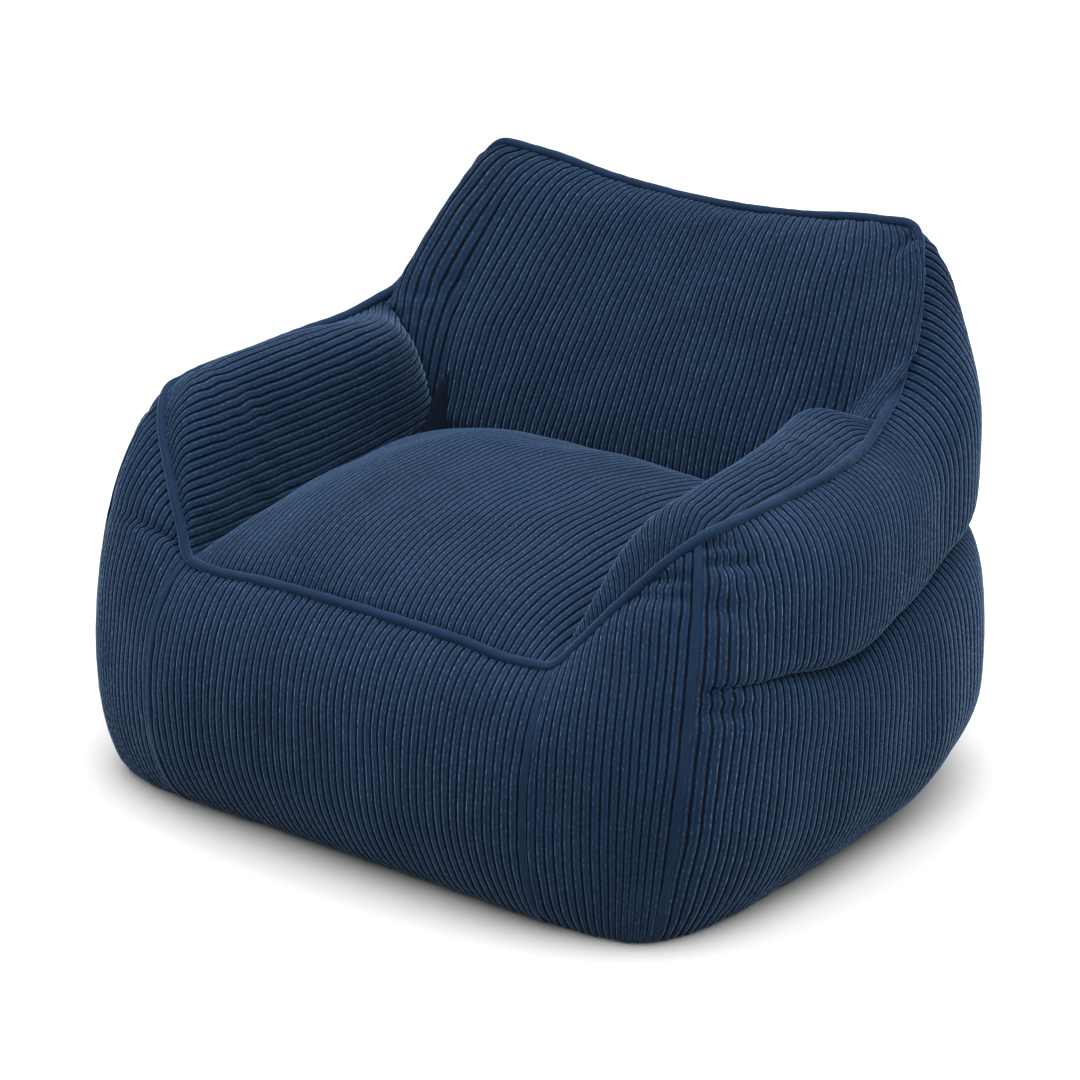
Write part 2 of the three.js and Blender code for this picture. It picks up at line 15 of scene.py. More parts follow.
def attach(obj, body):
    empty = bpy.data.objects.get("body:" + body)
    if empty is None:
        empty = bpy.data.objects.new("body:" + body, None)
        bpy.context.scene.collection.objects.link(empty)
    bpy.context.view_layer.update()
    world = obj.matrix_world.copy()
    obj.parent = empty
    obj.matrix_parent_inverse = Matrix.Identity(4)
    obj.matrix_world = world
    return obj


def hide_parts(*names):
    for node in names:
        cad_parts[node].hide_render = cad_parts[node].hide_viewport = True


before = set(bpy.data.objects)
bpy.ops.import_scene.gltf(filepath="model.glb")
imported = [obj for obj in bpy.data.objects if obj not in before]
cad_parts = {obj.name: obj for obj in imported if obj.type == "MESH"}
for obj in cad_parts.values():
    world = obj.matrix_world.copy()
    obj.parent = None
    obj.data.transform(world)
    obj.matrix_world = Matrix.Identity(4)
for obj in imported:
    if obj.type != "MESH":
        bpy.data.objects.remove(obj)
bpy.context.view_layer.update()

MM = 0.001
FLOOR_GAP = 0.0002          # metres that the cloth keeps above the floor
BODY_SHIFT_Y = -299.3       # brings the middle of the depth to y = 0
RIB = 10.0                  # places are counted in ribs of this length
PIPING_RADIUS = 5.3
PIPING_PROUD = 3.0          # the cord stands this far out of its seam
CORD_UNEVEN = 0.035         # share by which the radius of the cord varies
CORD_STEPS = 640
CORD_SIDES = 12
WELT_WIDTH = 8.0
WELT_HEIGHT = 2.6
WELT_LIFT = 0.4             # the middle of a welt lies this far outside the seam
WELT_SQUARENESS = 0.5       # lower makes its section squarer
WELT_UNEVEN = 0.1           # share by which its thickness varies
WELT_SPAN = (0.045, 0.985)  # part of the way up that a welt covers
WELT_STEPS = 150
WELT_SIDES = 16
WELT_STEP_OUT = 0.4         # ribs to either side of its seam that show the way across
BASE_RINGS = (1.0, 0.985, 0.95, 0.85, 0.6, 0.3)
BASE_STEPS = 256
BASE_LIFT = 1.2             # the seam of the base lies this far above the floor
SEAT_CROWN = 72.0
SEAT_SQUARENESS = 3.5       # higher keeps the seat full further towards its side seams
SEAT_SHOULDER = 0.6         # higher lets it fall off more gently there
SEAT_FORWARD = 0.95         # below 1 the crown of the seat lies in front of its middle
SEAT_SAG = 9.0              # dip of the seam between seat and arm
BACK_CROWN = 52.0
BACK_SQUARENESS = 14
BACK_SHOULDER = 0.5
BACK_LEAN = math.radians(27)  # the swell of the back faces up by this much
BACK_SIDE_TURN = 1.2        # radians that the swell of the back turns out to at its sides
CORNER_LOSS = 0.35          # part of the swell that is missing in the top corners
FOOT_TURN = 0.4             # below this share of the height the swell turns sideways less
BACK_SLANT = 3.5            # the ribs of the back lean to the right by so many at the top
SLANT_SQUARENESS = 4        # higher keeps the slant closer to the side seams
SLANT_RISE = 1.3            # above 1 the slant grows towards the top
PLUMP_SQUARENESS = 2.2      # with the next, the profile of a stuffed roll: close to a circle
PLUMP_SHOULDER = 0.625
FOLD_LIP = 12.0             # the upper roll hangs down by this much over the fold
BASE_TUCK = 1.5             # above 1 the lower roll draws in before it reaches the base
FOLD_FLOOR = 29.0           # bulge that is left at the bottom of the side fold
FOLD_TURN = 4.5             # lower turns the cloth into the fold more gently
UNFOLDED_TURN = 12.5        # its value where the fold runs out
LIP_SHARE = 2.2             # the lip takes up the lower part of the upper roll

# Places round the chair, counted in ribs from the middle of the front
FRONT_SEAM = 24
SIDE_SEAM = 40
ARM_END = 82
REAR_SEAM = 105
REAR_MIDDLE = 134
SEAT_HALF = 24
BACK_HALF = 29.5
BACK_FOOT_HALF = 22.5       # the back meets the seat up to here, and the arms beyond

# Route of the piping: rib, x, y, z
PIPING_ROUTE = [
    (0, 0, -14, 276),
    (12, 120, -11, 273),
    (21, 212, -6, 267),
    (24, 238, 1, 269),
    (27, 258, 14, 292),
    (32, 293, 36, 337),
    (38, 334, 70, 386),
    (41, 348, 92, 400),
    (46, 355, 130, 405),
    (58, 357, 240, 407),
    (68, 354, 320, 410),
    (74, 345, 370, 414),
    (80, 335, 410, 424),
    (86, 322, 460, 443),
    (92, 308, 502, 484),
    (99, 292, 539, 535),
    (104, 281, 556, 575),
    (106, 271, 561, 584),
    (110, 226, 566, 582),
    (120, 122, 568, 569),
    (134, 0, 568, 563),
]

# Seam round the base: rib, x, y, way the rib faces in degrees from the front, and how far its
# lower and its upper roll stand out
FOOTPRINT = [
    (0, 0, 0, 0, 65, 65),
    (12, 120, -1, 0, 63, 63),
    (24, 236, -3, 8, 58, 58),
    (32, 302, 2, 25, 55, 55),
    (40, 342, 22, 45, 55, 57),
    (44, 357, 49, 68, 55, 58),
    (50, 368, 103, 85, 57, 60),
    (60, 370, 200, 90, 60, 63),
    (72, 368, 320, 90, 65, 60),
    (82, 356, 416, 97, 72, 58),
    (92, 321, 502, 122, 80, 71),
    (98, 286, 549, 145, 82, 74),
    (106, 221, 592, 165, 75, 65),
    (118, 123, 616, 177, 68, 63),
    (134, 0, 623, 180, 68, 63),
]

# Fold between the lower and the upper roll: rib, depth from 0 to 1, height
SIDE_FOLD = [
    (0, 0, 138),
    (24, 0, 140),
    (32, 0, 186),
    (38, 0, 246),
    (41, 0, 260),
    (43, 0.1, 262),
    (50, 0.5, 255),
    (58, 0.9, 241),
    (64, 1, 237),
    (72, 1, 246),
    (80, 1, 256),
    (88, 1, 271),
    (98, 0.9, 276),
    (106, 0.7, 275),
    (118, 0.4, 268),
    (134, 0.3, 264),
]

# How far back a cross-section of the arm starts on the seat seam: rib, from 0 to 1
ARM_SECTIONS = [
    (24, 0),
    (40.5, 0.2),
    (50, 0.4),
    (58, 0.56),
    (72, 0.84),
    (82, 1),
]

# Control points of the arm's cross-section, as shares of its rise: the first from the seat
# seam (x, z), the second from the piping (x, z)
ARM_FRONT = (0.2, 1.07, -0.31, 0.38)
ARM_REAR = (-0.32, 1.29, -0.8, 0.48)
ARM_BACK_SEAM = (0.12, 0.45, -0.25, -0.2)
ARM_FADE = 16               # higher keeps the arm full until closer to the back seam

# Rear corner of the seat, where seat, arm and back meet
SEAT_CORNER = (255, 430, 283)
SEAT_CORNER_RISE = 10

# Inner edges of the stuffed pieces under the piping and over the base: rib, x, y, z
UPPER_CORE = [
    (0, 0, 110, 150),
    (24, 200, 110, 150),
    (41, 300, 150, 300),
    (82, 300, 436, 300),
    (105, 240, 525, 470),
    (134, 0, 525, 470),
]
LOWER_CORE = [
    (0, 0, 110, 132),
    (24, 200, 110, 132),
    (41, 218, 150, 132),
    (82, 218, 420, 132),
    (105, 200, 452, 132),
    (134, 0, 456, 132),
]
SEAT_CORE = (200, 430, 150)
CORE_BEHIND = 20            # the inner edge of the back lies this far behind the seat's

# One rib of corduroy: fraction of the pitch, height from the groove (0) to the crest (1)
RIB_SECTION = [
    (0.0, 0.0), (0.07, 0.5), (0.18, 0.8), (0.34, 0.96),
    (0.5, 1.0), (0.66, 0.96), (0.82, 0.8), (0.93, 0.5),
]
# Pitch of the raised ribs of each piece, chosen to match the photo, as a share of RIB
RIB_PITCH = {
    "front_cushion": 0.94,
    "corner_cushion_right": 0.94,
    "corner_cushion_left": 0.94,
    "side_cushion_right": 1.0,
    "side_cushion_left": 1.0,
    "outer_back_cushion": 1.0,
    "seat_cushion": 0.80,
    "back_cushion": 0.86,
    "arm_cushion_right": 0.72,
    "arm_cushion_left": 0.95,
}
RIB_HEIGHT = 3.2
GROOVE_DEPTH = 2.2          # the groove lies this far under the smooth surface
SEAM_TUCK = 1.8             # the cloth turns in by this much at a sewn edge
SEAM_WIDTH = 6.0            # the cloth is turned in within this distance of the edge
SEAM_RIB = 0.5              # share of a rib's height that is left at a sewn edge
RIB_UNEVEN = 0.12           # share by which the height of the ribs varies
SWAY = 0.7                  # how far a rib strays sideways
SWAY_MARGIN = 14.0          # ribs stray less within this distance of an edge
RUFFLE = 0.9                # unevenness beside the sewn edges
RUFFLE_REACH = 22.0
LUMP = 1.1                  # unevenness of the filling
LUMP_MARGIN = 60.0
DENT_MARGIN = 6.0           # gathers go in less within this distance of an edge
BEND_GAIN = 2.3             # makes the widest step of a bend about equal to its amount
RIPPLE_LIFT = 0.5           # a ripple rises by this share of its sideways amount
# Wavelengths of the unevenness
HEIGHT_WAVE = 60.0
SWAY_WAVE = 75.0
RUFFLE_WAVE = 26.0
LUMP_WAVE = 120.0
RIPPLE_WAVE = 30.0
CORD_WAVE = 16.0
WELT_WAVE = 24.0
WAVE_SPREAD = (0.7, 1.5)    # single waves have lengths between these shares of it
WAVE_COUNT = 9
# Each arm of the photo keeps its fullness to a different distance from the back seam
ARM_FADES = {"left": 8, "right": 20}
# Steps of the grids along the ribs
UPRIGHT_ROWS = 92
SEAT_ROWS = 90
ARM_ROWS = 110
BACK_ROWS = 80
# Points at which the arm is measured, along it and over it
ARM_MEASURES = 241
OVER_MEASURES = 61
EDGE_MARGIN = 0.03          # no column lies closer than this many ribs to an edge
CROWDING = 0.6              # from 0, even steps, to 1, steps that crowd at both ends

# Gathers left by the sewing, by piece: kind, place in ribs, row from 0 to 1, reach across and
# along the ribs, amount. A dent goes in, a bend steps the ribs sideways, a ripple makes them
# wander.
GATHERS = {
    "side_cushion_right": [
        ("dent", 43.8, 0.857, 38, 7, 9.0),
        ("dent", 43.0, 0.925, 26, 6, 6.0),
        ("dent", 43.0, 0.76, 34, 9, 5.0),
        ("dent", 43.0, 0.41, 38, 9, 8.0),
        ("dent", 42.5, 0.52, 30, 8, 7.0),
        ("ripple", 43.5, 0.84, 36, 45, 1.8),
    ],
    "corner_cushion_right": [
        ("dent", 37.4, 0.90, 26, 6, 7.0),
        ("dent", 37.6, 0.845, 28, 7, 6.0),
        ("ripple", 37.0, 0.86, 26, 40, 1.5),
    ],
    "corner_cushion_left": [
        ("dent", -28.0, 0.90, 42, 8, 6.0),
        ("bend", -28.5, 0.885, 36, 14, 3.6),
        ("bend", -33.0, 0.80, 26, 18, 2.4),
    ],
    "side_cushion_left": [
        ("dent", -43.5, 0.857, 30, 6, 3.5),
        ("ripple", -43.5, 0.80, 30, 45, 1.5),
    ],
    "back_cushion": [
        ("ripple", -28.2, 0.10, 24, 40, 3.0),
        ("dent", -28.6, 0.09, 14, 8, 2.5),
        ("dent", 27.2, 0.965, 9, 9, 5.0),
        ("bend", 26.0, 0.93, 22, 16, 2.4),
        ("ripple", 0.0, 0.97, 400, 24, 0.9),
    ],
    "arm_cushion_right": [
        ("ripple", 19.0, 0.72, 50, 70, 1.3),
        ("ripple", 21.0, 0.30, 40, 60, 0.9),
    ],
    "arm_cushion_left": [
        ("ripple", 19.0, 0.12, 50, 50, 1.5),
        ("ripple", 19.0, 0.60, 50, 60, 0.8),
    ],
}

# Seed of the unevenness of each piece
SEEDS = {
    "front_cushion": 41,
    "corner_cushion_right": 43,
    "corner_cushion_left": 47,
    "side_cushion_right": 53,
    "side_cushion_left": 59,
    "outer_back_cushion": 61,
    "seat_cushion": 11,
    "arm_cushion_right": 23,
    "arm_cushion_left": 29,
    "back_cushion": 37,
    "piping_cord": 71,
    "front_welt_strip_right": 81,
    "front_welt_strip_left": 82,
    "side_welt_strip_right": 83,
    "side_welt_strip_left": 84,
}


def lerp(a, b, t):
    return a + (b - a) * t


def unit(v):
    return v / np.maximum(np.linalg.norm(v, axis=-1, keepdims=True), 1e-9)


def point(*coordinates):
    return np.stack(np.broadcast_arrays(*coordinates), axis=-1).astype(float)


def smooth(rows, odd=None):
    """Smooth curve through the rows of a table, mirrored past both ends where odd is given."""
    rows = [tuple(map(float, row)) for row in rows]
    if odd is not None:
        def flip(row, end):
            values = [2 * e - v if is_odd else v for v, e, is_odd in zip(row[1:], end[1:], odd)]
            return (2 * end[0] - row[0], *values)
        rows = [flip(rows[1], rows[0]), *rows, flip(rows[-2], rows[-1])]
    table = np.array(rows)
    knots, values = table[:, 0], table[:, 1:]
    step = np.diff(knots)[:, None]
    rate = np.diff(values, axis=0) / step
    inner = (rate[:-1] * step[1:] + rate[1:] * step[:-1]) / (step[:-1] + step[1:])
    slope = np.concatenate([rate[:1], inner, rate[-1:]])

    def at(rib):
        rib = np.asarray(rib, float)
        k = np.clip(np.searchsorted(knots, rib, side="right") - 1, 0, len(knots) - 2)
        h = (knots[k + 1] - knots[k])[..., None]
        t = (rib - knots[k])[..., None] / h
        rise = 2 * t**3 - 3 * t**2 + 1
        return (rise * values[k] + (t**3 - 2 * t**2 + t) * h * slope[k]
                + (1 - rise) * values[k + 1] + (t**3 - t**2) * h * slope[k + 1])
    return at


def straight(rows):
    """Straight runs between the rows of a table."""
    table = np.array(rows, float)
    return lambda rib: np.stack([np.interp(rib, table[:, 0], c) for c in table.T[1:]], axis=-1)


route_at = smooth(PIPING_ROUTE, (True, False, False))
foot_at = smooth(FOOTPRINT, (True, False, True, False, False))
fold_at = smooth(SIDE_FOLD, (False, False))
arm_along = smooth(ARM_SECTIONS)
upper_core_at = straight(UPPER_CORE)
lower_core_at = straight(LOWER_CORE)


def mirrored(rib, at):
    """The tables give the right half of the chair; a negative rib is its mirror image."""
    rib = np.asarray(rib, float)
    points = at(np.abs(rib))
    points[..., 0] *= np.where(rib < 0, -1.0, 1.0)
    return points


def piping(rib):
    return mirrored(rib, route_at)


def upper_core(rib):
    return mirrored(rib, upper_core_at)


def lower_core(rib):
    return mirrored(rib, lower_core_at)


def outward(rib):
    return unit(piping(rib) - upper_core(rib))


def seam(rib):
    return piping(rib) - PIPING_PROUD * outward(rib)


def plump(t):
    """Round profile: 0 at -1 and 1, 1 in the middle."""
    return np.maximum(1 - np.abs(t) ** PLUMP_SQUARENESS, 0) ** PLUMP_SHOULDER


def roll(t, tightness, tuck):
    """The same with a tighter turn on the side of the fold, where t is positive."""
    tight = np.sqrt(np.maximum(1 - np.maximum(t, 0) ** tightness, 0))
    return np.where(t > 0, tight, plump(t) ** tuck)


def outer_skin(rib, up):
    """Outer surface: rib round the chair, up from 0 at the base to 1 at the piping."""
    def right_half(r):
        foot_x, foot_y, facing, lower, upper = np.moveaxis(foot_at(r), -1, 0)
        depth, fold_z = np.moveaxis(fold_at(r), -1, 0)
        depth = np.clip(depth, 0, 1)
        top = seam(r)
        low = up < 0.5
        turn = np.cos(np.pi * np.where(low, 2 * up, 2 * up - 1))
        part = (1 - turn) / 2
        height = np.where(low, fold_z * part, lerp(fold_z, top[..., 2], part))
        tightness = lerp(UNFOLDED_TURN, FOLD_TURN, depth)
        round_ = roll(np.where(low, -turn, turn), tightness, np.where(low, BASE_TUCK, 1))
        floor = FOLD_FLOOR * np.where(low, part, 1 - part)
        single = lower * plump(2 * height / top[..., 2] - 1)
        double = np.where(low, lower, upper) * round_ + floor * (1 - round_)
        out = lerp(single, double, depth)
        droop = np.where(low, 0, FOLD_LIP * np.sin(np.pi * np.clip(LIP_SHARE * part, 0, 1)))
        share = height / top[..., 2]
        angle = np.radians(facing)
        return point(lerp(foot_x, top[..., 0], share) + np.sin(angle) * out,
                     lerp(foot_y, top[..., 1], share) - np.cos(angle) * out,
                     height - depth * droop)
    rib, up = np.broadcast_arrays(np.asarray(rib, float), np.asarray(up, float))
    return mirrored(rib, right_half)


def seat(rib, back):
    """Seat: rib from -24 to 24 across, back from 0 at the front piping to 1."""
    rib, back = np.broadcast_arrays(np.asarray(rib, float), np.asarray(back, float))
    side = rib / SEAT_HALF
    rear_z = SEAT_CORNER[2] + SEAT_CORNER_RISE * (1 - side**2)
    rear = point(SEAT_CORNER[0] * side, SEAT_CORNER[1], rear_z)
    points = lerp(seam(rib), rear, back[..., None])
    across = np.maximum(1 - np.abs(side) ** SEAT_SQUARENESS, 0) ** SEAT_SHOULDER
    crown = SEAT_CROWN * across * plump(2 * back**SEAT_FORWARD - 1)
    points[..., 2] += crown - SEAT_SAG * np.sin(np.pi * back) * side**2
    return points


def inner_arm(rib, over, fade=ARM_FADE):
    """Right inner arm: the rib of the piping that a section ends on, over from 0 at the seat to 1."""
    rib, over = np.broadcast_arrays(np.asarray(rib, float), np.asarray(over, float))
    along = np.clip(arm_along(rib)[..., 0], 0, 1)
    foot = seat(np.full_like(rib, SEAT_HALF), along)
    top = seam(rib)
    rise = top[..., 2] - foot[..., 2]
    bulged = lerp(np.array(ARM_FRONT), np.array(ARM_REAR), (along**2)[..., None])
    share = lerp(bulged, np.array(ARM_BACK_SEAM), (along**fade)[..., None]) * rise[..., None]
    first = foot + point(share[..., 0], 0, share[..., 1])
    second = top + point(share[..., 2], 0, share[..., 3])
    t = over[..., None]
    return ((1 - t) ** 3 * foot + 3 * (1 - t) ** 2 * t * first
            + 3 * (1 - t) * t**2 * second + t**3 * top)


def mirror_x(points):
    return points * np.array([-1.0, 1.0, 1.0])


def rear_rib(rib):
    return np.where(rib < 0, -1, 1) * lerp(REAR_MIDDLE, REAR_SEAM, np.abs(rib) / BACK_HALF)


def back_foot(rib):
    """Lower edge of the inner back, along the arm, the seat and the other arm."""
    over = np.clip((np.abs(rib) - BACK_FOOT_HALF) / (BACK_HALF - BACK_FOOT_HALF), 0, 1)
    on_seat = seat(np.clip(rib * SEAT_HALF / BACK_FOOT_HALF, -SEAT_HALF, SEAT_HALF), 1.0)
    on_arm = inner_arm(np.full_like(over, ARM_END), over)
    on_arm = np.where((rib < 0)[..., None], mirror_x(on_arm), on_arm)
    return np.where((np.abs(rib) <= BACK_FOOT_HALF)[..., None], on_seat, on_arm)


def inner_back(rib, up):
    """Inner back: rib from -29.5 to 29.5 across, up from 0 at the seat and the arms to 1."""
    rib, up = np.broadcast_arrays(np.asarray(rib, float), np.asarray(up, float))
    side = rib / BACK_HALF
    across = ((side + 1) / 2)[..., None]
    rise = up[..., None]
    edge = lerp(ARM_END, REAR_SEAM, up)
    ends = np.full_like(rib, BACK_HALF)
    points = lerp(back_foot(rib), seam(rear_rib(rib)), rise) + lerp(seam(-edge), seam(edge), across)
    left = lerp(back_foot(-ends), seam(rear_rib(-ends)), rise)
    right = lerp(back_foot(ends), seam(rear_rib(ends)), rise)
    points = points - lerp(left, right, across)
    shoulder = np.maximum(1 - np.abs(side) ** BACK_SQUARENESS, 0) ** BACK_SHOULDER
    crown = BACK_CROWN * shoulder * plump(2 * up - 1) * (1 - CORNER_LOSS * side**6 * up**4)
    turn = BACK_SIDE_TURN * np.abs(side) ** 3 * np.clip(up / FOOT_TURN, 0, 1)
    lean = point(np.sign(side) * np.sin(turn), -math.cos(BACK_LEAN) * np.cos(turn),
                 math.sin(BACK_LEAN) * np.cos(turn))
    return points + crown[..., None] * lean


def waves(points, length, seed):
    """Soft unevenness, mostly between -1 and 1, with the given wavelength in millimetres."""
    chance = np.random.default_rng(seed)
    ways = unit(chance.normal(size=(WAVE_COUNT, 3)))
    lengths = length * chance.uniform(*WAVE_SPREAD, WAVE_COUNT)
    shifts = chance.uniform(0, 2 * np.pi, WAVE_COUNT)
    total = sum(np.sin(points @ way * 2 * np.pi / size + shift)
                for way, size, shift in zip(ways, lengths, shifts))
    return total / math.sqrt(WAVE_COUNT)


def grid_normals(points):
    across = np.gradient(points, axis=0)
    along = np.gradient(points, axis=1)
    return unit(np.cross(across, along))


def lengths_along(points, axis):
    steps = np.linalg.norm(np.diff(points, axis=axis), axis=-1)
    start = np.zeros_like(np.take(steps, [0], axis=axis))
    return np.concatenate([start, np.cumsum(steps, axis=axis)], axis=axis)


def edge_distance(points):
    """Distance over the surface from each point to the nearest border of its grid."""
    across = lengths_along(points, 0)
    along = lengths_along(points, 1)
    from_sides = np.minimum(across, across[-1:] - across)
    from_ends = np.minimum(along, along[:, -1:] - along)
    return np.minimum(from_sides, from_ends)


def rib_columns(first, last, pitch):
    """Column positions from one place to another, with the section of every rib between."""
    whole = np.arange(math.floor(first / pitch), math.ceil(last / pitch) + 1)
    fractions = np.array([fraction for fraction, _ in RIB_SECTION])
    columns = pitch * (whole[:, None] + fractions).ravel()
    inside = columns[(columns > first + EDGE_MARGIN) & (columns < last - EDGE_MARGIN)]
    return np.concatenate([[first], inside, [last]])


def rib_profile(columns):
    fractions, heights = np.array([*RIB_SECTION, (1.0, 0.0)]).T
    return np.interp(np.mod(columns, 1.0), fractions, heights)


def gathered(name, points, columns, rows):
    """How far the cloth moves along its normal and across its ribs, and the way across."""
    seed = SEEDS[name]
    across = unit(np.gradient(points, axis=0))
    along = unit(np.gradient(points, axis=1))
    out = np.zeros(points.shape[:2])
    sideways = SWAY * waves(points, SWAY_WAVE, seed + 3)
    for k, gather in enumerate(GATHERS.get(name, [])):
        kind, column, row, reach_across, reach_along, amount = gather
        place = np.argmin(np.abs(columns - column)), np.argmin(np.abs(rows - row))
        offset = points - points[place]
        u = offset @ across[place] / reach_across
        v = offset @ along[place] / reach_along
        near = np.exp(-u**2 - v**2)
        if kind == "dent":
            out -= amount * near
        elif kind == "bend":
            sideways += BEND_GAIN * amount * v * near
        else:
            sideways += amount * near * waves(points, RIPPLE_WAVE, seed + 10 + k)
            out += RIPPLE_LIFT * amount * near * waves(points, RIPPLE_WAVE, seed + 30 + k)
    return out, sideways, across


def corduroy(name, points, columns, rows):
    """Raises the ribs on a smooth grid and turns its borders in; columns are places in ribs.

    Each kind of unevenness adds a number of its own to the seed of the piece.
    """
    seed = SEEDS[name]
    normals = grid_normals(points)
    inside = edge_distance(points)
    out, sideways, across = gathered(name, points, columns, rows)
    edge = np.clip(inside / SEAM_WIDTH, 0, 1)
    turned = np.sqrt(np.maximum(1 - (1 - edge) ** 2, 0))
    profile = rib_profile(columns / RIB_PITCH[name])[:, None]
    height = RIB_HEIGHT * (1 + RIB_UNEVEN * waves(points, HEIGHT_WAVE, seed))
    crest = height * profile * lerp(SEAM_RIB, 1, turned)
    ruffles = RUFFLE * np.exp(-inside / RUFFLE_REACH) * waves(points, RUFFLE_WAVE, seed + 1)
    lumps = LUMP * waves(points, LUMP_WAVE, seed + 2) * np.clip(inside / LUMP_MARGIN, 0, 1)
    rise = crest - GROOVE_DEPTH * turned - SEAM_TUCK * (1 - turned) + ruffles * turned + lumps
    rise += out * np.clip(inside / DENT_MARGIN, 0, 1)
    sideways *= np.clip(inside / SWAY_MARGIN, 0, 1)
    return points + rise[..., None] * normals + sideways[..., None] * across


def add_mesh(name, vertices, faces, material, uv=None):
    mesh = bpy.data.meshes.new(name)
    placed = (np.asarray(vertices) + [0, BODY_SHIFT_Y, 0]) * MM
    placed[:, 2] = np.maximum(placed[:, 2], FLOOR_GAP)
    mesh.from_pydata(placed.tolist(), [], faces)
    mesh.polygons.foreach_set("use_smooth", np.ones(len(mesh.polygons), bool))
    if uv is not None:
        layer = mesh.uv_layers.new(name="cloth")
        corners = np.zeros(len(mesh.loops), np.int32)
        mesh.loops.foreach_get("vertex_index", corners)
        layer.data.foreach_set("uv", np.asarray(uv)[corners].ravel())
    mesh.materials.append(material)
    mesh.update()
    obj = bpy.data.objects.new(name, mesh)
    bpy.context.scene.collection.objects.link(obj)
    return obj


def grid_faces(across, along):
    corner = np.arange(across * along).reshape(across, along)
    quads = np.stack([corner[:-1, :-1], corner[1:, :-1], corner[1:, 1:], corner[:-1, 1:]], axis=-1)
    return quads.reshape(-1, 4).tolist()


def border(across, along):
    """Grid indices round the border, in the order of the skin's faces."""
    corner = np.arange(across * along).reshape(across, along)
    return np.concatenate([corner[:-1, 0], corner[-1, :-1], corner[:0:-1, -1], corner[0, :0:-1]])


def stuffed(name, points, core, columns, material):
    """Closed stuffed piece: the ribbed skin, walls down to the inner edges and a back there."""
    across, along = points.shape[:2]
    ring = border(across, along)
    inner = core.reshape(-1, 3)[ring]
    middle = inner.mean(axis=0)
    count = across * along
    vertices = np.concatenate([points.reshape(-1, 3), inner, middle[None]])
    faces = grid_faces(across, along)
    size = len(ring)
    for k in range(size):
        following = (k + 1) % size
        faces.append((int(ring[following]), int(ring[k]), count + k, count + following))
        faces.append((count + following, count + k, count + size))
    ribs = np.broadcast_to(columns[:, None] / RIB_PITCH[name], (across, along))
    length = lengths_along(points, 1) / RIB
    uv = np.zeros((len(vertices), 2))
    uv[:count] = np.stack([ribs, length], axis=-1).reshape(-1, 2)
    return add_mesh(name, vertices, faces, material, uv)


def finish_piece(obj, node):
    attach(obj, "root")
    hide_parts(node)


# Materials

def node_tree(name):
    material = bpy.data.materials.new(name)
    material.use_nodes = True
    tree = material.node_tree
    tree.nodes.clear()
    shader = tree.nodes.new("ShaderNodeBsdfPrincipled")
    output = tree.nodes.new("ShaderNodeOutputMaterial")
    tree.links.new(shader.outputs["BSDF"], output.inputs["Surface"])
    return material, tree, shader


def add_node(tree, kind, inputs=(), **settings):
    """A node with its settings, and its inputs given as (socket, value or output)."""
    node = tree.nodes.new(kind)
    for key, value in settings.items():
        setattr(node, key, value)
    for socket, value in inputs:
        if isinstance(value, bpy.types.NodeSocket):
            tree.links.new(value, node.inputs[socket])
        else:
            node.inputs[socket].default_value = value
    return node


def maths(tree, operation, first, second=0.0):
    inputs = [(0, first), (1, second)]
    return add_node(tree, "ShaderNodeMath", inputs, operation=operation).outputs[0]


def ramp(tree, value, low, high, to_low=0.0, to_high=1.0):
    inputs = [
        ("Value", value), ("From Min", low), ("From Max", high),
        ("To Min", to_low), ("To Max", to_high),
    ]
    return add_node(tree, "ShaderNodeMapRange", inputs, clamp=True).outputs["Result"]


def mix(tree, share, first, second):
    node = add_node(tree, "ShaderNodeMix", data_type="RGBA")
    for socket, value in ((0, share), (6, first), (7, second)):
        if isinstance(value, bpy.types.NodeSocket):
            tree.links.new(value, node.inputs[socket])
        else:
            node.inputs[socket].default_value = value
    return node.outputs[2]


# Painted shade: the colour that the grooves are darkened to
GROOVE_SHADE_COLOUR = (0.0009, 0.0028, 0.0072, 1)
PILE_COLOUR = (0.0025, 0.0087, 0.0235, 1)
# Colour of worn pile, and of the painted highlight on the rib flanks
WORN_AND_HIGHLIGHT_COLOUR = (0.0100, 0.0280, 0.064, 1)
NUB_COLOUR = (0.045, 0.098, 0.18, 1)
SHEEN_COLOUR = (0.42, 0.64, 1.0, 1)

# Patterns of the cloth, as cells in a metre
LIE_SCALE = 9.0             # patches where the nap lies another way
FLECK_SCALE = 650.0
FIBRE_SCALE = 1500.0
TWILL_SCALE = 200.0
NUB_SCALE = (7.0, 2.0, 1.0)  # cells in one rib across and in the length RIB along it
# From where a pattern shows, and where it is full
LIE_LIMITS = (0.35, 0.68)
FLECK_LIMITS = (0.46, 0.66)
NUB_LIMITS = (0.54, 0.62)
# The same as distances from the crest of a rib, in shares of its pitch; the groove band gets painted
# shade and the flank band a painted highlight
GROOVE_SHADE_LIMITS = (0.30, 0.40)
# Band on both flanks of each rib that takes a painted highlight
FLANK_HIGHLIGHT_UPPER = (0.12, 0.21)
FLANK_HIGHLIGHT_LOWER = (0.33, 0.27)
# Share of the colour that each pattern gives where it is full
LIE_TINT = 0.30
FLECK_TINT = 0.35
# Painted highlight on the rib flanks
FLANK_HIGHLIGHT_TINT = 0.45
NUB_TINT = 0.42
# Painted shade in the grooves
GROOVE_SHADE_TINT = 0.9
TWILL_TINT = 0.2
# How much each pattern adds to the bump
FIBRE_BUMP = 0.5
FLECK_BUMP = 0.5
NUB_BUMP = 1.2
TWILL_BUMP = 0.6


def tinted(tree, colour, pattern, share, other):
    """The colour, turned by a share to another one where the pattern is full."""
    return mix(tree, maths(tree, "MULTIPLY", pattern, share), colour, other)


def raised(tree, height, pattern, amount):
    return maths(tree, "ADD", height, maths(tree, "MULTIPLY", pattern, amount))


